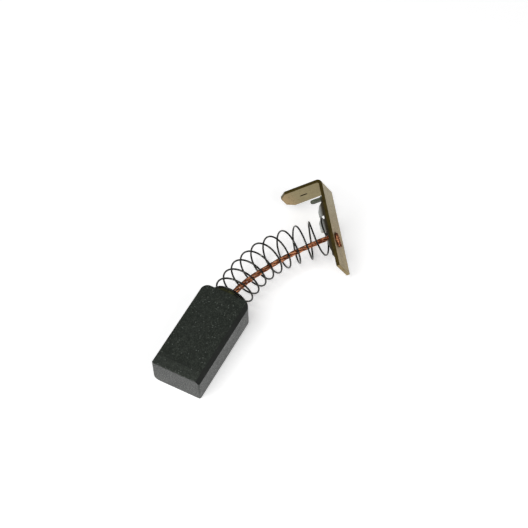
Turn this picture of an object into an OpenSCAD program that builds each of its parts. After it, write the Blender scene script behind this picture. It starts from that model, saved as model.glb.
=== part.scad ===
// Carbon brush with a helical pressure spring, a copper shunt and a bent brass blade terminal.
// The contact face of the carbon is at x = 0 and the spring leaves the other end along +X.
// The brush lies on its side: the block's lower front edge and the spring's lowest turn touch the table.

/* [Carbon block] */
// Length of the block from its contact face to its shoulder
block_l = 23; // [18:0.5:30]
// Width of the block
block_w = 11.5; // [10:0.5:14]
// Thickness of the block
block_t = 6.3; // [5:0.1:6.6]
// Leg of the chamfer along one upper long edge
edge_chamfer = 0.85; // [0.3:0.05:1.5]
// Radius of the opposite lower long edge and of the lower rear edge
under_edge_r = 1.7; // [0.5:0.1:2]
// Radius of the upright corners at the rear
rear_corner_r = 1.6; // [0.5:0.1:2]
// Radius of the upright corners beside the contact face
front_corner_r = 0.4; // [0.1:0.1:1]
// Height of the spring boss above the shoulder, at its crown
boss_h = 1.9; // [1.5:0.1:2.5]
// Height of the crown's dome
dome_h = 1.0; // [0.6:0.1:1.4]

/* [Shunt] */
// Diameter of the stranded copper shunt
shunt_d = 1.15; // [0.8:0.05:1.4]
// Depth of the tamped hole that holds the shunt
hole_depth = 6; // [4:0.5:8]
// Diameter of the tamped hole at its mouth
hole_mouth_d = 3; // [2.8:0.1:3.4]
// Height of the welded pad where the shunt's strands are fused to the terminal
pad_h = 0.45; // [0.3:0.05:0.7]

/* [Spring] */
// Diameter of the spring's steel wire
wire_d = 0.42; // [0.3:0.02:0.5]
// Mean coil diameter
coil_d = 8.4; // [8.2:0.1:8.8]
// Number of turns that are free to move
free_turns = 10; // [8:1:12]
// How much of the free length the turns near the block give up, because they lie closer together
close_up = 1.7; // [0:0.1:2.5]
// How far the spring keeps the block's direction before it bends
bend_start = 16.3; // [12:0.1:20]
// How far before the terminal it has the terminal's direction
bend_end = 9.7; // [6:0.1:10]

/* [Terminal] */
// Width of the brass strip, as on a 6.3 mm blade tab
strip_w = 6.3; // [6.2:0.1:6.4]
// Thickness of the brass strip
strip_t = 0.8; // [0.7:0.05:0.9]
// Height of the plate above the wire hole, to the outside of the bend
plate_up = 14.2; // [13:0.1:16]
// Length of the plate below the wire hole
plate_down = 8.5; // [6.5:0.1:9]
// How far the wire hole lies off the strip's centre line, towards the upper edge
hole_off = 1; // [0:0.1:1.2]
// Length of the blade tab from the plate's inner face
tab_l = 10.2; // [9:0.1:11]
// Outer radius of the bend between plate and tab
bend_r = 1.3; // [1:0.1:2]
// Leg of the corner chamfers at the tab's tip
tip_chamfer = 1.6; // [1:0.1:2]
// Length of the detent slot in the tab
slot_l = 1.7; // [1:0.1:2.5]
// Width of the detent slot
slot_w = 0.45; // [0.3:0.05:0.8]

/* [Spring seat] */
// Thickness of the seat's zinc-plated steel
seat_t = 0.4; // [0.3:0.05:0.4]
// Height of the seat above the wire hole, to its lug
seat_up = 9.7; // [9:0.1:10.5]
// Length of the seat below the wire hole
seat_down = 5.6; // [5:0.1:6]
// Length of the lug from the terminal plate
lug_l = 3.2; // [2.5:0.1:4]
// Width of the lug
lug_w = 1.5; // [1:0.1:2]
// Height of the side flanges beside the spring, on the lug's side
flange_high = 1.7; // [1.2:0.1:1.8]
// Height of the side flanges beside the spring, on the other side
flange_low = 1; // [0.7:0.1:1.3]
// Height of the flange that stands inside the spring's last turn
flange_in = 2.1; // [1.5:0.1:2.4]

/* [Placement of the terminal] */
// Place of the wire hole along the block's direction
hole_x = 49.3; // [48:0.1:51]
// Place of the wire hole across the block
hole_y = -12.8; // [-14:0.1:-11]
// Height of the wire hole over the block's centre
hole_z = 0.2; // [0:0.05:0.5]
// Turn of the terminal in plan
heading = -57; // [-62:1:-50]
// Rise of the spring's end where it meets the terminal
rise = 25; // [20:1:30]
// Roll of the terminal onto its long edge
roll = -80; // [-85:1:-75]

/* [Hidden] */
$fn = 48;
fit_gap = 0.02;
cut = 1;                        // how far a cutting tool passes through the faces it cuts

// Boss and hole in the block
boss_d = 7.4;
dome_r = (pow(boss_d / 2, 2) + pow(dome_h, 2)) / (2 * dome_h);
crown_x = block_l + boss_h;
hole_end_d = hole_mouth_d - 0.6;
plug_crown = 0.25;

// Directions at the terminal: out of the plate, and along the plate towards its bend
out_dir = [cos(rise) * cos(heading), cos(rise) * sin(heading), sin(rise)];
up_dir = [
    sin(-roll) * -sin(heading) + cos(-roll) * -sin(rise) * cos(heading),
    sin(-roll) * cos(heading) + cos(-roll) * -sin(rise) * sin(heading),
    cos(-roll) * cos(rise)
];
hole_at = [hole_x, hole_y, hole_z];

// Centre line of the spring, a cubic curve from the block's shoulder to the terminal
coil_shift = 0.7;               // the spring's end is this much nearer to the bend than the wire hole
coil_end = hole_at + coil_shift * up_dir - 0.4 * out_dir;
spring_line = [
    [block_l + wire_d / 2, 0, 0],
    [block_l + wire_d / 2 + bend_start, 0, 0],
    coil_end - bend_end * out_dir,
    coil_end
];
line_steps = 80;
spring_lengths = running_length([for (i = [0:line_steps]) curve(spring_line, i / line_steps)]);
spring_l = spring_lengths[line_steps];
length_to_u = [for (i = [0:line_steps]) [spring_lengths[i], i / line_steps]];
turns = free_turns + 1.04;      // one closed turn on the shoulder, and the wire's end beside the plate
coil_sides = 8;
steps_per_turn = 26;
first_angle = 116;              // the wire's end on the shoulder, beside the top of the boss
free_pitch = (spring_l - wire_d + close_up) / (turns - 1);

// Centre line of the shunt, which lies loose inside the spring
shunt_start_x = crown_x - hole_depth + 1;
shunt_line = [
    [shunt_start_x, 0, 0],
    [shunt_start_x + 9, 1.5, 1.2],
    hole_at - 4 * out_dir,
    hole_at
];
shunt_steps = 40;
shunt_sides = 12;
wire_hole_d = shunt_d + 0.3;
pad_w = 2.1;
pad_l = 3.7;
pad_up = 0.6;                   // how far the pad reaches over the wire hole's centre, towards the bend

function unit(v) = v / norm(v);
function curve(p, u) =
    pow(1 - u, 3) * p[0] + 3 * pow(1 - u, 2) * u * p[1] + 3 * (1 - u) * u * u * p[2] + pow(u, 3) * p[3];
function heading_of(p, u) = unit(
    pow(1 - u, 2) * (p[1] - p[0]) + 2 * (1 - u) * u * (p[2] - p[1]) + u * u * (p[3] - p[2]));
function running_length(path) = [
    for (i = 0, s = 0; i < len(path); s = s + (i + 1 < len(path) ? norm(path[i + 1] - path[i]) : 0), i = i + 1) s];

// Length of spring used up after n turns: a closed turn, then turns that open out to the free pitch
function spring_at(n) =
    let (m = max(n - 1, 0))
    wire_d * min(n, 1) + free_pitch * m - close_up * (1 - exp(-m / 2));
// The closed turn grips the boss, and the coil opens out over the next half turn
function coil_radius(n) =
    let (grip = boss_d / 2 + wire_d / 2 + 2 * fit_gap, open = min(max((n - 0.9) / 0.6, 0), 1))
    grip + (coil_d / 2 - grip) * open * open * (3 - 2 * open);
function coil_out(u, angle) =
    let (t = heading_of(spring_line, u), side = unit(cross([0, 0, 1], t)), up = cross(t, side))
    cos(angle) * side + sin(angle) * up;
function coil_point(n) =
    let (u = lookup(spring_at(n), length_to_u))
    curve(spring_line, u) + coil_radius(n) * coil_out(u, first_angle + 360 * n);

// A round bar of radius r swept along points; outs holds a sideways direction for each point
module swept_bar(points, outs, r, sides) {
    last = len(points) - 1;
    rings = [
        for (i = [0:last])
            let (
                t = unit(points[min(i + 1, last)] - points[max(i - 1, 0)]),
                a = unit(outs[i] - (outs[i] * t) * t),
                b = cross(t, a)
            )
            for (k = [0:sides - 1])
                points[i] + r * (cos(360 * k / sides) * a + sin(360 * k / sides) * b)
    ];
    walls = [
        for (i = [0:last - 1], k = [0:sides - 1])
            let (p = i * sides + k, q = i * sides + (k + 1) % sides)
            each [[p, p + sides, q], [q, p + sides, q + sides]]
    ];
    start_cap = [[for (k = [0:sides - 1]) k]];
    end_cap = [[for (k = [0:sides - 1]) last * sides + sides - 1 - k]];
    polyhedron(points = rings, faces = concat(start_cap, walls, end_cap), convexity = 10);
}

// What a rounded corner of radius r takes off a square corner at the origin
module corner_waste(r) {
    difference() {
        translate([-cut, -cut]) square(r + cut);
        translate([r, r]) circle(r);
    }
}

// Section of the block seen from the contact face: width across, thickness up
module block_section() {
    difference() {
        translate([-block_w / 2, -block_t / 2]) square([block_w, block_t]);
        translate([block_w / 2, -block_t / 2]) mirror([1, 0]) corner_waste(under_edge_r);
        translate([-block_w / 2, block_t / 2])
            polygon([[-cut, cut], [-cut, -edge_chamfer - cut], [edge_chamfer + cut, cut]]);
    }
}

// Plan of the block, with its four upright corners rounded
module block_plan() {
    difference() {
        translate([0, -block_w / 2]) square([block_l, block_w]);
        for (side = [0, 1]) mirror([0, side]) {
            translate([0, -block_w / 2]) corner_waste(front_corner_r);
            translate([block_l, -block_w / 2]) mirror([1, 0]) corner_waste(rear_corner_r);
        }
    }
}

// Side view of the block, with its lower rear edge rounded
module block_side() {
    difference() {
        translate([0, -block_t / 2]) square([block_l, block_t]);
        translate([block_l, -block_t / 2]) mirror([1, 0]) corner_waste(under_edge_r);
    }
}

// Round boss that the spring's first turn grips, pressed flush with the block's broad faces
module boss() {
    intersection() {
        rotate([0, 90, 0]) rotate_extrude() intersection() {
            translate([0, block_l - 1]) square([boss_d / 2, boss_h + 1]);
            translate([0, crown_x - dome_r]) circle(dome_r, $fn = 96);
        }
        translate([block_l - 2, -block_w / 2, -block_t / 2]) cube([boss_h + 3, block_w, block_t]);
    }
}

module carbon_block() {
    color([0.030, 0.034, 0.029])
    difference() {
        union() {
            intersection() {
                rotate([90, 0, 90]) linear_extrude(block_l) block_section();
                translate([0, 0, -block_t / 2]) linear_extrude(block_t) block_plan();
                translate([0, block_w / 2, 0]) rotate([90, 0, 0]) linear_extrude(block_w) block_side();
            }
            boss();
        }
        translate([crown_x - hole_depth, 0, 0]) rotate([0, 90, 0])
            cylinder(d1 = hole_end_d, d2 = hole_mouth_d, h = hole_depth);
        translate([crown_x - 0.01, 0, 0]) rotate([0, 90, 0]) cylinder(d = hole_mouth_d, h = cut);
    }
}

// Copper and graphite powder tamped round the shunt in its tapered hole
module tamping_plug() {
    color([0.08, 0.05, 0.03])
    difference() {
        union() {
            translate([crown_x - hole_depth, 0, 0]) rotate([0, 90, 0])
                cylinder(d1 = hole_end_d, d2 = hole_mouth_d, h = hole_depth);
            translate([crown_x, 0, 0]) rotate([0, 90, 0])
                cylinder(d1 = hole_mouth_d, d2 = shunt_d + 0.4, h = plug_crown);
        }
        shunt_bar(shunt_d / 2 + fit_gap);
    }
}

module shunt_bar(r) {
    points = [for (i = [0:shunt_steps]) curve(shunt_line, i / shunt_steps)];
    outs = [for (i = [0:shunt_steps]) cross([0, 0, 1], heading_of(shunt_line, i / shunt_steps))];
    through = hole_at + (strip_t + 0.1) * out_dir;
    swept_bar(concat(points, [through]), concat(outs, [outs[shunt_steps]]), r, shunt_sides);
}

// Copper rope, with its strands spread and fused flat on the terminal's outer face
module shunt_wire() {
    color([0.42, 0.14, 0.07]) {
        shunt_bar(shunt_d / 2);
        at_terminal()
            translate([strip_t, 0, pad_up - pad_w / 2]) rotate([0, 90, 0]) linear_extrude(pad_h) {
                circle(d = pad_w);
                translate([0, -pad_w / 2]) square([pad_l - pad_w, pad_w]);
                translate([pad_l - pad_w, 0]) circle(d = pad_w);
            }
    }
}

module spring() {
    count = ceil(turns * steps_per_turn);
    points = [for (i = [0:count]) coil_point(turns * i / count)];
    outs = [
        for (i = [0:count])
            let (n = turns * i / count)
            coil_out(lookup(spring_at(n), length_to_u), first_angle + 360 * n)
    ];
    color([0.16, 0.16, 0.16]) swept_bar(points, outs, wire_d / 2, coil_sides);
}

// The terminal's own frame: x out of the plate, y across the strip, z from the wire hole to the bend
module at_terminal() {
    translate(hole_at) rotate([roll, -rise, heading]) children();
}

// The same frame on the strip's centre line
module at_strip() {
    at_terminal() translate([0, hole_off, 0]) children();
}

// Strip seen on edge: plate upright, tab bent over at the top towards the spring
module strip_profile() {
    centre = [strip_t - bend_r, plate_up - bend_r];
    translate([0, -plate_down]) square([strip_t, plate_down + centre[1]]);
    translate([-tab_l, plate_up - strip_t]) square([tab_l + centre[0], strip_t]);
    intersection() {
        translate(centre) difference() {
            circle(bend_r);
            circle(bend_r - strip_t);
        }
        translate(centre) square(bend_r);
    }
}

// Wire hole through anything from one x to another
module wire_hole(from, to) {
    translate([from, -hole_off, 0]) rotate([0, 90, 0]) cylinder(d = wire_hole_d, h = to - from);
}

module terminal() {
    color([0.40, 0.32, 0.17])
    at_strip() difference() {
        rotate([90, 0, 0]) linear_extrude(strip_w, center = true) strip_profile();
        // 45 degree corners of the tab's tip
        for (side = [-1, 1])
            translate([-tab_l, side * strip_w / 2, plate_up - strip_t / 2]) rotate([0, 0, 45])
                cube([tip_chamfer * sqrt(2), tip_chamfer * sqrt(2), strip_t + cut], center = true);
        // detent slot
        translate([-tab_l / 2 - slot_l / 2, -slot_w / 2, plate_up - strip_t - cut])
            cube([slot_l, slot_w, strip_t + 2 * cut]);
        wire_hole(-cut, strip_t + cut);
    }
}

// Side flanges of the seat, cut away where the spring's last turn and the shunt pass
module seat_flanges(inner) {
    last_turn = coil_d / 2 + coil_shift - 0.1;
    linear_extrude(seat_t) {
        polygon([
            [0, seat_up - 1.2], [-flange_high + 0.5, seat_up - 2.4],
            [-flange_high, last_turn + 1.2], [-flange_high, last_turn], [0, last_turn]
        ]);
        polygon([[0, -1.6], [-flange_low, -1.6], [-flange_low + 0.4, -seat_down + 1.7], [0, -seat_down]]);
        if (inner)
            polygon([
                [0, last_turn - 0.9], [-flange_in + 0.3, last_turn - 0.9], [-flange_in, last_turn - 1.3],
                [-flange_in, 1.1], [-flange_in + 0.4, 0.8], [0, 0.8]
            ]);
    }
}

module spring_seat() {
    color([0.40, 0.40, 0.39])
    at_strip() difference() {
        union() {
            translate([-seat_t, -strip_w / 2, -seat_down]) cube([seat_t, strip_w, seat_down + seat_up]);
            for (edge = [-strip_w / 2 + seat_t, strip_w / 2])
                translate([0, edge, 0]) rotate([90, 0, 0]) seat_flanges(inner = edge < 0);
            // lug bent out towards the tab, with a round end
            translate([0, -strip_w / 2 + 0.3, seat_up - seat_t]) {
                translate([-lug_l + lug_w / 2, 0, 0]) cube([lug_l - lug_w / 2, lug_w, seat_t]);
                translate([-lug_l + lug_w / 2, lug_w / 2, 0]) cylinder(d = lug_w, h = seat_t);
            }
        }
        wire_hole(-seat_t - cut, cut);
    }
}

carbon_block();
tamping_plug();
shunt_wire();
spring();
spring_seat();
terminal();
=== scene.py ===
import math
import random

import bmesh
import bpy
from mathutils import Matrix, Vector


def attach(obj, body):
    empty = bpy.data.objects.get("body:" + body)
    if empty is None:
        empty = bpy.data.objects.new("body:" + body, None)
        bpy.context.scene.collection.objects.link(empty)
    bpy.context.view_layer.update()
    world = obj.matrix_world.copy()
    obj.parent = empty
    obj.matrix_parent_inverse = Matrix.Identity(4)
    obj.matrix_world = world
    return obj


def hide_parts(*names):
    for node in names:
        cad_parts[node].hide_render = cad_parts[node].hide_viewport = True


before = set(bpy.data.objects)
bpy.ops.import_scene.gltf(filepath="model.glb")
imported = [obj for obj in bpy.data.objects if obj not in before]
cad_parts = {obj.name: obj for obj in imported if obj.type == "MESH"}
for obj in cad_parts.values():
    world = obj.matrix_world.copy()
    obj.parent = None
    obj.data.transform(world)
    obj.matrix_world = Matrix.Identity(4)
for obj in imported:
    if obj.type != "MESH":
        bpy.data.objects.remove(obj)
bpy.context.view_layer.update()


# The view: a camera over the contact face's end, which looks down along the brush.
camera_data = bpy.data.cameras.new("camera")
camera_data.sensor_width = 36.0
camera_data.lens = 95.45
camera_data.clip_start = 0.01
camera = bpy.data.objects.new("camera", camera_data)
camera.location = (-0.1250, -0.0917, 0.2542)
camera.rotation_euler = (math.radians(35.83), math.radians(0.99), math.radians(-62.28))
bpy.context.scene.collection.objects.link(camera)
bpy.context.scene.camera = camera
bpy.context.scene.view_settings.view_transform = "Standard"


# The table top. The brush rests on the block's lower front edge and on the lowest turn of its
# spring, so the table slopes by four degrees against the block. It looks plain white.
rest_slope = math.atan(0.0679)
rest_height = -0.00317
bpy.ops.mesh.primitive_plane_add(
    size=6.0, location=(0.0, 0.0, rest_height), rotation=(0.0, rest_slope, 0.0)
)
table = bpy.context.object
table.name = "table"
table_paint = bpy.data.materials.new("white_table")
table_paint.use_nodes = True
tree = table_paint.node_tree
paint = tree.nodes["Principled BSDF"]
paint.inputs["Base Color"].default_value = (0.90, 0.90, 0.90, 1.0)
paint.inputs["Roughness"].default_value = 0.8
paint.inputs["Specular IOR Level"].default_value = 0.2
paint.inputs["Emission Color"].default_value = (1.0, 1.0, 1.0, 1.0)
ray = tree.nodes.new("ShaderNodeLightPath")
seen = tree.nodes.new("ShaderNodeMath")
seen.operation = "MAXIMUM"
tree.links.new(ray.outputs["Is Camera Ray"], seen.inputs[0])
tree.links.new(ray.outputs["Is Glossy Ray"], seen.inputs[1])
lift = tree.nodes.new("ShaderNodeMath")
lift.operation = "MULTIPLY"
lift.inputs[1].default_value = 0.42
tree.links.new(seen.outputs[0], lift.inputs[0])
tree.links.new(lift.outputs[0], paint.inputs["Emission Strength"])
table.data.materials.append(table_paint)


# Soft studio light: one large lamp above the contact face, a weaker one at the side, a dim room.
def soft_lamp(name, direction, distance, size, power):
    lamp_data = bpy.data.lights.new(name, "AREA")
    lamp_data.shape = "SQUARE"
    lamp_data.size = size
    lamp_data.energy = power
    lamp = bpy.data.objects.new(name, lamp_data)
    middle = Vector((0.030, -0.004, 0.0))
    lamp.location = middle + Vector(direction).normalized() * distance
    lamp.rotation_euler = Vector(direction).to_track_quat("Z", "Y").to_euler()
    bpy.context.scene.collection.objects.link(lamp)


soft_lamp("top_lamp", (-0.55, 0.20, 0.80), 0.80, 0.70, 5.2)
soft_lamp("side_lamp", (-0.25, -0.75, 0.60), 0.80, 0.50, 1.6)
room = bpy.data.worlds.new("room")
room.use_nodes = True
room.node_tree.nodes["Background"].inputs["Color"].default_value = (1.0, 1.0, 1.0, 1.0)
room.node_tree.nodes["Background"].inputs["Strength"].default_value = 0.13
bpy.context.scene.world = room


# The carbon block, pressed from graphite powder. Its narrow faces and contact face are ground,
# and are painted lighter than its top, partly for that finish and partly as painted sheen from the
# floor; its broad faces keep the press's grain, and its front edge has chipped in use.
mm = 0.001


def merged_copy(node, name):
    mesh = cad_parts[node].data.copy()
    mesh.name = name
    mesh.materials.clear()
    bm = bmesh.new()
    bm.from_mesh(mesh)
    bmesh.ops.remove_doubles(bm, verts=bm.verts, dist=1e-6)
    bmesh.ops.dissolve_limit(
        bm, angle_limit=math.radians(0.5), verts=bm.verts, edges=bm.edges, delimit={"NORMAL"}
    )
    return mesh, bm


def round_edges(bm, least_angle, offset):
    least = math.radians(least_angle)
    sharp = [e for e in bm.edges if e.is_manifold and e.calc_face_angle(0.0) > least]
    bmesh.ops.bevel(
        bm, geom=sharp, affect="EDGES", offset=offset, offset_type="OFFSET",
        segments=2, profile=0.5, material=-1, clamp_overlap=True,
    )


mesh, bm = merged_copy("carbon_block", "pressed_block")
broad = [
    f for f in bm.faces
    if (f.normal.x < -0.99 or f.normal.z > 0.99) and f.calc_area() > 40e-6
]
bmesh.ops.inset_individual(bm, faces=broad, thickness=0.3 * mm, use_even_offset=True)


def edges_along(bm, axis, least, **at):
    found = []
    for e in bm.edges:
        a, b = e.verts[0].co, e.verts[1].co
        on_line = all(
            abs(end["xyz".index(k)] - v) < 2e-5 for k, v in at.items() for end in (a, b)
        )
        if on_line and abs(a[axis] - b[axis]) > least:
            found.append(e)
    return found


front_rim = edges_along(bm, 1, 8 * mm, x=0.0, z=3.15 * mm)
front_rim += edges_along(bm, 1, 7 * mm, x=0.3 * mm, z=3.15 * mm)
front_rim += edges_along(bm, 1, 7 * mm, x=0.0, z=2.85 * mm)
bmesh.ops.subdivide_edges(bm, edges=front_rim, cuts=43, use_grid_fill=True)
random.seed(3)
chips = {
    2: 0.20, 3: 0.12, 9: 0.07, 14: 0.11, 15: 0.05,
    20: 0.09, 24: 0.06, 29: 0.12, 33: 0.05, 36: 0.10,
}
rim = sorted(
    (v for v in bm.verts if abs(v.co.x) < 1e-5 and abs(v.co.z - 3.15 * mm) < 1e-5),
    key=lambda v: v.co.y,
)
for i, v in enumerate(rim[1:-1]):
    depth = (chips.get(i, 0.0) + random.uniform(0.0, 0.035)) * mm
    v.co.x += depth
    v.co.z -= depth * random.uniform(0.4, 0.9)
round_edges(bm, 32, 0.08 * mm)


def placed_piece(mesh, bm, sharp_angle):
    bm.to_mesh(mesh)
    bm.free()
    piece = bpy.data.objects.new(mesh.name, mesh)
    bpy.context.scene.collection.objects.link(piece)
    mesh.shade_smooth()
    mesh.set_sharp_from_angle(angle=math.radians(sharp_angle))
    normals = piece.modifiers.new("even_normals", "WEIGHTED_NORMAL")
    normals.keep_sharp = True
    normals.weight = 80
    return piece


block = placed_piece(mesh, bm, 40)


def put(tree, kind, values=None, **settings):
    made = tree.nodes.new(kind)
    for key, value in settings.items():
        setattr(made, key, value)
    for key, value in (values or {}).items():
        if isinstance(value, bpy.types.NodeSocket):
            tree.links.new(value, made.inputs[key])
        else:
            made.inputs[key].default_value = value
    return made


def calc(tree, operation, a, b=0.0, c=0.0):
    return put(tree, "ShaderNodeMath", {0: a, 1: b, 2: c}, operation=operation).outputs[0]


def blend(tree, share, a, b):
    made = put(tree, "ShaderNodeMix", data_type="RGBA")
    for socket, value in zip((made.inputs[0], made.inputs[6], made.inputs[7]), (share, a, b)):
        if isinstance(value, bpy.types.NodeSocket):
            tree.links.new(value, socket)
        elif isinstance(value, tuple):
            socket.default_value = (*value, 1.0)
        else:
            socket.default_value = value
    return made.outputs[2]


def rise(tree, value, low, high, to_low=0.0, to_high=1.0):
    return put(
        tree, "ShaderNodeMapRange", {0: value, 1: low, 2: high, 3: to_low, 4: to_high},
        interpolation_type="SMOOTHSTEP",
    ).outputs[0]


def new_group(name, inputs, outputs):
    group = bpy.data.node_groups.new(name, "ShaderNodeTree")
    for label, kind, value in inputs:
        socket = group.interface.new_socket(label, in_out="INPUT", socket_type=kind)
        if value is not None:
            socket.default_value = value
    for label, kind in outputs:
        group.interface.new_socket(label, in_out="OUTPUT", socket_type=kind)
    return group, group.nodes.new("NodeGroupInput"), group.nodes.new("NodeGroupOutput")


powder_grain, given, result = new_group(
    "powder_grain",
    [("Vector", "NodeSocketVector", None), ("Grains per m", "NodeSocketFloat", 4000.0)],
    [("Grain", "NodeSocketFloat"), ("Flakes", "NodeSocketFloat"), ("Clouds", "NodeSocketFloat"),
     ("Height", "NodeSocketFloat")],
)
where, per_m = given.outputs["Vector"], given.outputs["Grains per m"]
fine = put(powder_grain, "ShaderNodeTexNoise", {
    "Vector": where, "Scale": per_m, "Detail": 3.0, "Roughness": 0.65,
})
cells = put(powder_grain, "ShaderNodeTexVoronoi", {
    "Vector": where, "Scale": calc(powder_grain, "MULTIPLY", per_m, 0.55), "Randomness": 1.0,
})
clouds = put(powder_grain, "ShaderNodeTexNoise", {
    "Vector": where, "Scale": calc(powder_grain, "MULTIPLY", per_m, 0.09), "Detail": 2.0,
})
grain = rise(powder_grain, fine.outputs[0], 0.42, 0.68)
cell_shade = put(powder_grain, "ShaderNodeSeparateColor", {0: cells.outputs["Color"]})
few = rise(powder_grain, cell_shade.outputs[0], 0.62, 0.75)
dots = rise(powder_grain, cells.outputs["Distance"], 0.28, 0.12)
flakes = calc(powder_grain, "MULTIPLY", few, dots)
height = calc(powder_grain, "MULTIPLY_ADD", flakes, 0.8, fine.outputs[0])
for label, socket in (
    ("Grain", grain), ("Flakes", flakes), ("Clouds", clouds.outputs[0]), ("Height", height),
):
    powder_grain.links.new(socket, result.inputs[label])


def new_material(name):
    material = bpy.data.materials.new(name)
    material.use_nodes = True
    tree = material.node_tree
    return material, tree, tree.nodes["Principled BSDF"], put(tree, "ShaderNodeTexCoord")


def finish_with(tree, shader, **sockets):
    for label, value in sockets.items():
        socket = shader.inputs[label.replace("_", " ")]
        if isinstance(value, bpy.types.NodeSocket):
            tree.links.new(value, socket)
        else:
            socket.default_value = value


carbon, tree, shader, coords = new_material("graphite_carbon")
grit = put(tree, "ShaderNodeGroup", {
    "Vector": coords.outputs["Object"], "Grains per m": 3600.0,
}, node_tree=powder_grain)
place = put(tree, "ShaderNodeSeparateXYZ", {0: coords.outputs["Object"]})
facing = put(tree, "ShaderNodeSeparateXYZ", {0: coords.outputs["Normal"]})
on_side = calc(tree, "ABSOLUTE", facing.outputs[1])
on_front = calc(tree, "MULTIPLY", facing.outputs[0], -1.0)
# Painted sheen: the side and front faces are painted lighter, partly for their ground finish and partly
# for the floor they mirror.
ground_and_sheen = calc(tree, "MAXIMUM", rise(tree, on_side, 0.80, 0.95), rise(tree, on_front, 0.80, 0.95))
# Painted shade: the chamfer between top and side is painted near black.
chamfer_shade = calc(
    tree, "MULTIPLY",
    rise(tree, facing.outputs[1], -0.45, -0.60), rise(tree, facing.outputs[2], 0.45, 0.60),
)
boss_part = rise(tree, place.outputs[0], 0.02300, 0.02310)
top_colour = blend(tree, grit.outputs["Grain"], (0.009, 0.013, 0.009), (0.040, 0.048, 0.038))
# Painted light: the top is painted a little lighter along its front edge.
top_colour = blend(
    tree, rise(tree, place.outputs[0], 0.0030, 0.0020, 0.0, 0.16), top_colour, (0.070, 0.080, 0.066)
)
step_line = calc(tree, "ABSOLUTE", calc(tree, "SUBTRACT", place.outputs[0], 0.0027))
top_colour = blend(
    tree, rise(tree, step_line, 0.00022, 0.00002, 0.0, 0.5), top_colour, (0.008, 0.010, 0.008)
)
top_colour = blend(tree, grit.outputs["Flakes"], top_colour, (0.13, 0.15, 0.13))
ground_and_sheen_colour = blend(tree, grit.outputs["Grain"], (0.022, 0.024, 0.022), (0.150, 0.158, 0.148))
colour = blend(tree, ground_and_sheen, top_colour, ground_and_sheen_colour)
colour = blend(tree, chamfer_shade, colour, (0.006, 0.008, 0.006))
# Painted reflection: the boss is tinted olive, as if lit by the copper beside it.
boss_copper_reflection = blend(tree, grit.outputs["Grain"], (0.014, 0.016, 0.005), (0.060, 0.062, 0.020))
colour = blend(tree, boss_part, colour, boss_copper_reflection)
cloudy = calc(tree, "MULTIPLY_ADD", grit.outputs["Clouds"], 0.25, 0.33)
bump = put(tree, "ShaderNodeBump", {
    "Strength": 0.6, "Distance": 0.00006, "Height": grit.outputs["Height"],
})
finish_with(tree, shader, Base_Color=colour, Roughness=cloudy, Normal=bump.outputs[0])
block.data.materials.append(carbon)
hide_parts("carbon_block")
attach(block, "root")


# The tamping plug, copper and graphite powder packed round the shunt in the boss's tapered hole.
def softened_copy(node, name, edge_radius):
    mesh, bm = merged_copy(node, name)
    round_edges(bm, 35, edge_radius)
    piece = placed_piece(mesh, bm, 35)
    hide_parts(node)
    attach(piece, "root")
    return piece


plug = softened_copy("tamping_plug", "tamped_powder", 0.05 * mm)
tamped, tree, shader, coords = new_material("tamped_powder")
grit = put(tree, "ShaderNodeGroup", {
    "Vector": coords.outputs["Object"], "Grains per m": 5000.0,
}, node_tree=powder_grain)
colour = blend(tree, grit.outputs["Grain"], (0.03, 0.018, 0.010), (0.14, 0.09, 0.05))
colour = blend(tree, grit.outputs["Flakes"], colour, (0.62, 0.40, 0.26))
bump = put(tree, "ShaderNodeBump", {
    "Strength": 0.8, "Distance": 0.00008, "Height": grit.outputs["Height"],
})
finish_with(
    tree, shader, Base_Color=colour, Metallic=rise(tree, grit.outputs["Flakes"], 0.3, 0.6),
    Roughness=0.45, Normal=bump.outputs[0],
)
plug.data.materials.append(tamped)


# The spring, coiled cold from round steel wire. One closed turn grips the boss, and the turns
# open out towards the terminal, where the wire's end lies beside the plate.
def cubic(route, u):
    a, b, c, d = route
    return (1 - u) ** 3 * a + 3 * (1 - u) ** 2 * u * b + 3 * (1 - u) * u * u * c + u ** 3 * d


def running_length(points):
    lengths = [0.0]
    for p, q in zip(points, points[1:]):
        lengths.append(lengths[-1] + (q - p).length)
    return lengths


def at_length(points, lengths, s):
    s = min(max(s, 0.0), lengths[-1])
    i = max(1, next((k for k, v in enumerate(lengths) if v >= s), len(lengths) - 1))
    share = (s - lengths[i - 1]) / (lengths[i] - lengths[i - 1])
    before, after = points[max(i - 2, 0)], points[min(i + 1, len(points) - 1)]
    return points[i - 1].lerp(points[i], share), (after - before).normalized()


hole_turn = (math.radians(-80), math.radians(-25), math.radians(-57))
turn = Matrix.Rotation(hole_turn[2], 3, "Z") @ Matrix.Rotation(hole_turn[1], 3, "Y")
turn = turn @ Matrix.Rotation(hole_turn[0], 3, "X")
out_dir, across, upward = turn.col[0].copy(), turn.col[1].copy(), turn.col[2].copy()
wire_hole = Vector((49.3, -12.8, 0.2)) * mm
coil_end = wire_hole + 0.7 * mm * upward - 0.4 * mm * out_dir
spring_route = [
    Vector((23.21, 0, 0)) * mm, Vector((39.51, 0, 0)) * mm, coil_end - 9.7 * mm * out_dir, coil_end,
]
spring_points = [cubic(spring_route, i / 240) for i in range(241)]
spring_lengths = running_length(spring_points)
wire_d, coil_radius, boss_radius, play = 0.42 * mm, 4.2 * mm, 3.7 * mm, 0.04 * mm
turns, start_angle = 11.04, 116
drawn_in = 1.7 * mm
free_pitch = (spring_lengths[-1] - wire_d + drawn_in) / (turns - 1)
grip = boss_radius + wire_d / 2 + play
coil_steps = int(turns * 48)
coil = []
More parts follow.
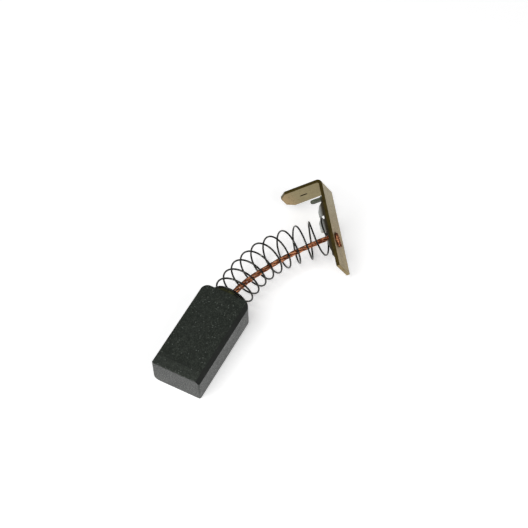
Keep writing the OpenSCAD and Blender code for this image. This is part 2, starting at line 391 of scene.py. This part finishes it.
for i in range(coil_steps + 1):
    n = turns * i / coil_steps
    m = max(n - 1, 0)
    s = wire_d * min(n, 1) + free_pitch * m - drawn_in * (1 - math.exp(-m / 2))
    centre, tangent = at_length(spring_points, spring_lengths, s)
    side = Vector((0, 0, 1)).cross(tangent).normalized()
    above = tangent.cross(side)
    opened = min(max((n - 0.9) / 0.6, 0), 1)
    radius = grip + (coil_radius - grip) * opened * opened * (3 - 2 * opened)
    angle = math.radians(start_angle + 360 * n)
    coil.append(centre + radius * (math.cos(angle) * side + math.sin(angle) * above))


def wires(name, paths, radius, resolution):
    curve = bpy.data.curves.new(name, "CURVE")
    curve.dimensions = "3D"
    curve.bevel_depth = radius
    curve.bevel_resolution = resolution
    curve.use_fill_caps = True
    for path in paths:
        spline = curve.splines.new("POLY")
        spline.points.add(len(path) - 1)
        for point, place in zip(spline.points, path):
            point.co = (*place, 1.0)
    drawn = bpy.data.objects.new(name + "_drawn", curve)
    bpy.context.scene.collection.objects.link(drawn)
    bpy.context.view_layer.update()
    shaped = drawn.evaluated_get(bpy.context.evaluated_depsgraph_get())
    mesh = bpy.data.meshes.new_from_object(shaped)
    bpy.data.objects.remove(drawn)
    mesh.name = name
    mesh.shade_smooth()
    mesh.set_sharp_from_angle(angle=math.radians(60))
    piece = bpy.data.objects.new(name, mesh)
    bpy.context.scene.collection.objects.link(piece)
    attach(piece, "root")
    return piece


spring = wires("coiled_spring", [coil], wire_d / 2, 4)

metal_patina, given, result = new_group(
    "metal_patina",
    [("Vector", "NodeSocketVector", None), ("Patches per m", "NodeSocketFloat", 400.0)],
    [("Patches", "NodeSocketFloat"), ("Specks", "NodeSocketFloat"), ("Height", "NodeSocketFloat")],
)
where, per_m = given.outputs["Vector"], given.outputs["Patches per m"]
wide = put(metal_patina, "ShaderNodeTexNoise", {
    "Vector": where, "Scale": per_m, "Detail": 4.0, "Roughness": 0.6,
})
small = put(metal_patina, "ShaderNodeTexNoise", {
    "Vector": where, "Scale": calc(metal_patina, "MULTIPLY", per_m, 9.0), "Detail": 3.0,
})
for label, socket in (
    ("Patches", rise(metal_patina, wide.outputs[0], 0.35, 0.65)),
    ("Specks", rise(metal_patina, small.outputs[0], 0.62, 0.72)),
    ("Height", small.outputs[0]),
):
    metal_patina.links.new(socket, result.inputs[label])

spring_steel, tree, shader, coords = new_material("drawn_spring_steel")
patina = put(tree, "ShaderNodeGroup", {
    "Vector": coords.outputs["Object"], "Patches per m": 500.0,
}, node_tree=metal_patina)
colour = blend(tree, patina.outputs["Patches"], (0.020, 0.020, 0.018), (0.060, 0.060, 0.055))
# Painted glints: bright specks along the dark wire stand in for highlights.
colour = blend(tree, patina.outputs["Specks"], colour, (0.55, 0.54, 0.50))
finish_with(
    tree, shader, Base_Color=colour, Metallic=1.0,
    Roughness=rise(tree, patina.outputs["Height"], 0.3, 0.7, 0.12, 0.30),
)
spring.data.materials.append(spring_steel)
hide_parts("spring")


# The shunt, a copper rope of five bundles twisted together. It is tamped into the boss, runs loose
# inside the spring, passes through the terminal, and its strands are fused flat on the outer face.
rope_route = [
    Vector((19.9, 0, 0)) * mm, Vector((28.9, 1.5, 1.2)) * mm, wire_hole - 4 * mm * out_dir, wire_hole,
]
rope_line = [cubic(rope_route, i / 120) for i in range(121)]
rope_line += [wire_hole + out_dir * d * mm for d in (0.25, 0.5, 0.75)]
bend_radius = 0.3 * mm
bend = wire_hole + 0.75 * mm * out_dir - bend_radius * upward
rope_line += [
    bend + bend_radius * (math.cos(a) * upward + math.sin(a) * out_dir)
    for a in (0.4, 0.8, 1.2, 1.57)
]
along_pad = (0.22 * across - upward).normalized()
rope_line += [rope_line[-1] + along_pad * d * mm for d in (0.4, 0.8, 1.2, 1.6, 2.0, 2.4, 2.7)]
rope_lengths = running_length(rope_line)
through = rope_lengths[120]
rope_length = rope_lengths[-1]
steps = 170
frames = []
side = Vector((0, 0, 1)).cross(rope_line[1] - rope_line[0]).normalized()
for i in range(steps + 1):
    centre, tangent = at_length(rope_line, rope_lengths, rope_length * i / steps)
    side = (side - side.dot(tangent) * tangent).normalized()
    frames.append((centre, side.copy(), tangent.cross(side)))
random.seed(7)
bundles, strands = 5, 7
bundle_ring, strand_ring, strand_radius = 0.385 * mm, 0.155 * mm, 0.078 * mm
bundle_lay, strand_lay = 11.0 * mm, 5.5 * mm
strand_paths = []
for b in range(bundles):
    for k in range(strands):
        reach = steps - random.randint(0, 7)
        wander = random.uniform(-0.05, 0.05) * mm
        spread = random.uniform(0.9, 1.25)
        path = []
        for i in range(reach + 1):
            centre, side, above = frames[i]
            s = rope_length * i / steps
            loose = 1.0 + 0.24 * max(0.0, 1.0 - abs(s - 7 * mm) / (9 * mm))
            a = 2 * math.pi * (b / bundles + s / bundle_lay)
            c = 2 * math.pi * (k / (strands - 1) - s / strand_lay)
            ring = bundle_ring * loose
            inner = 0.0 if k == strands - 1 else strand_ring
            x = ring * math.cos(a) + inner * math.cos(c)
            y = ring * math.sin(a) + inner * math.sin(c)
            off = x * side + y * above
            flat = min(max((s - through - 0.5 * mm) / (0.9 * mm), 0.0), 1.0)
            wider = (1.5 * spread - 1) * off.dot(across) * across
            thinner = 0.62 * off.dot(out_dir) * out_dir
            off += flat * (wider - thinner)
            path.append(centre + off + (flat * wander + 0.4 * wander) * across)
        strand_paths.append(path)
shunt = wires("copper_rope", strand_paths, strand_radius, 1)
copper, tree, shader, coords = new_material("stranded_copper")
patina = put(tree, "ShaderNodeGroup", {
    "Vector": coords.outputs["Object"], "Patches per m": 900.0,
}, node_tree=metal_patina)
colour = blend(tree, patina.outputs["Patches"], (0.24, 0.065, 0.028), (0.80, 0.36, 0.18))
colour = blend(tree, patina.outputs["Specks"], colour, (0.85, 0.55, 0.36))
finish_with(
    tree, shader, Base_Color=colour, Metallic=1.0,
    Roughness=rise(tree, patina.outputs["Height"], 0.3, 0.7, 0.18, 0.35),
)
shunt.data.materials.append(copper)
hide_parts("shunt_wire")


# The spring seat, thin zinc-plated steel against the terminal's inner face. Its side flanges are
# rolled inwards beside and inside the spring, and its lug is bent out under the tab.
mesh, bm = merged_copy("spring_seat", "zinc_seat")
round_edges(bm, 35, 0.05 * mm)
for height in (0.6, 0.8, 1.0, 1.2, 1.4, 1.6, 1.8, 2.0):
    bmesh.ops.bisect_plane(
        bm, geom=bm.verts[:] + bm.edges[:] + bm.faces[:],
        plane_co=wire_hole - height * mm * out_dir, plane_no=out_dir,
    )
for v in bm.verts:
    from_hole = v.co - wire_hole
    proud = -from_hole.dot(out_dir) - 0.45 * mm
    sideways = from_hole.dot(across) - 1.0 * mm
    if proud > 0 and abs(sideways) > 2.5 * mm and from_hole.dot(upward) < 9.0 * mm:
        v.co -= math.copysign(proud * proud / (5.0 * mm), sideways) * across
seat = placed_piece(mesh, bm, 35)
zinc, tree, shader, coords = new_material("zinc_plated_steel")
local = put(tree, "ShaderNodeMapping", {
    "Vector": coords.outputs["Object"], "Location": wire_hole, "Rotation": hole_turn,
}, vector_type="TEXTURE")
at = put(tree, "ShaderNodeSeparateXYZ", {0: local.outputs[0]})
patina = put(tree, "ShaderNodeGroup", {
    "Vector": local.outputs[0], "Patches per m": 700.0,
}, node_tree=metal_patina)
colour = blend(tree, patina.outputs["Patches"], (0.50, 0.51, 0.49), (0.72, 0.73, 0.70))
# Painted shade: the seat is painted dark brown where it lies close against the plate.
root = rise(tree, at.outputs[0], -0.0012, -0.0004)
colour = blend(tree, root, colour, (0.050, 0.038, 0.018))
# Painted shade: the lug, in the tab's shadow, is painted dark green-grey.
colour = blend(tree, rise(tree, at.outputs[2], 0.0090, 0.0092), colour, (0.075, 0.090, 0.055))
finish_with(
    tree, shader, Base_Color=colour, Metallic=0.55,
    Roughness=rise(tree, patina.outputs["Height"], 0.3, 0.7, 0.25, 0.45),
)
seat.data.materials.append(zinc)
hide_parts("spring_seat")
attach(seat, "root")


# The terminal, sheared and bent from cold rolled brass strip. It is dull gold on its faces, with
# painted shade darkening its edge faces and the slot in its bent tab, and heat-tinted round the
# place where the copper is fused on.
terminal = softened_copy("terminal", "brass_terminal", 0.07 * mm)
brass, tree, shader, coords = new_material("rolled_brass")
local = put(tree, "ShaderNodeMapping", {
    "Vector": coords.outputs["Object"],
    "Location": wire_hole + 1.0 * mm * across, "Rotation": hole_turn,
}, vector_type="TEXTURE")
local_facing = put(tree, "ShaderNodeMapping", {
    "Vector": coords.outputs["Normal"], "Rotation": hole_turn,
}, vector_type="TEXTURE")
at = put(tree, "ShaderNodeSeparateXYZ", {0: local.outputs[0]})
facing = put(tree, "ShaderNodeSeparateXYZ", {0: local_facing.outputs[0]})
patina = put(tree, "ShaderNodeGroup", {
    "Vector": local.outputs[0], "Patches per m": 300.0,
}, node_tree=metal_patina)
rolled = put(tree, "ShaderNodeMapping", {
    "Vector": local.outputs[0], "Scale": (12000.0, 6000.0, 500.0),
})
lines = put(tree, "ShaderNodeTexNoise", {"Vector": rolled.outputs[0], "Scale": 1.0, "Detail": 2.0})
colour = blend(tree, patina.outputs["Patches"], (0.235, 0.170, 0.068), (0.320, 0.240, 0.105))
pale_end = rise(tree, at.outputs[2], 0.002, 0.011, 0.0, 0.6)
colour = blend(tree, pale_end, colour, (0.32, 0.285, 0.165))
gold_tip = rise(tree, at.outputs[0], -0.006, -0.010, 0.0, 0.7)
colour = blend(tree, gold_tip, colour, (0.43, 0.29, 0.150))
rolling_lines = rise(tree, lines.outputs[0], 0.45, 0.7, 0.0, 0.35)
colour = blend(tree, rolling_lines, colour, (0.17, 0.135, 0.07))
colour = blend(tree, patina.outputs["Specks"], colour, (0.12, 0.085, 0.035))
# Painted shade: the strip's edge faces, which mirror the dim room, are painted dark.
edge_shade = rise(tree, calc(tree, "ABSOLUTE", facing.outputs[1]), 0.35, 0.75)
colour = blend(tree, edge_shade, colour, (0.095, 0.070, 0.020))
weld = put(tree, "ShaderNodeVectorMath", {
    0: local.outputs[0], 1: (0.0009, -0.0008, -0.0010),
}, operation="DISTANCE")
tint = calc(tree, "ADD", weld.outputs["Value"], calc(tree, "MULTIPLY", patina.outputs["Height"], 0.0012))
colour = blend(tree, rise(tree, tint, 0.0036, 0.0022, 0.0, 0.75), colour, (0.17, 0.105, 0.03))
colour = blend(tree, rise(tree, tint, 0.0024, 0.0016, 0.0, 0.8), colour, (0.16, 0.045, 0.02))
# Painted shade: the faces inside the tab's slot are painted near black.
slot_shade = calc(
    tree, "MULTIPLY", rise(tree, calc(tree, "ABSOLUTE", at.outputs[1]), 0.0004, 0.0003),
    rise(tree, calc(tree, "ABSOLUTE", facing.outputs[2]), 0.75, 0.50),
)
slot_shade = calc(tree, "MULTIPLY", slot_shade, rise(tree, at.outputs[0], -0.001, -0.002))
colour = blend(tree, slot_shade, colour, (0.015, 0.010, 0.004))
bump = put(tree, "ShaderNodeBump", {
    "Strength": 0.25, "Distance": 0.00003, "Height": patina.outputs["Height"],
})
finish_with(
    tree, shader, Base_Color=colour, Metallic=1.0, Normal=bump.outputs[0],
    Roughness=rise(tree, patina.outputs["Height"], 0.3, 0.7, 0.32, 0.50),
)
terminal.data.materials.append(brass)
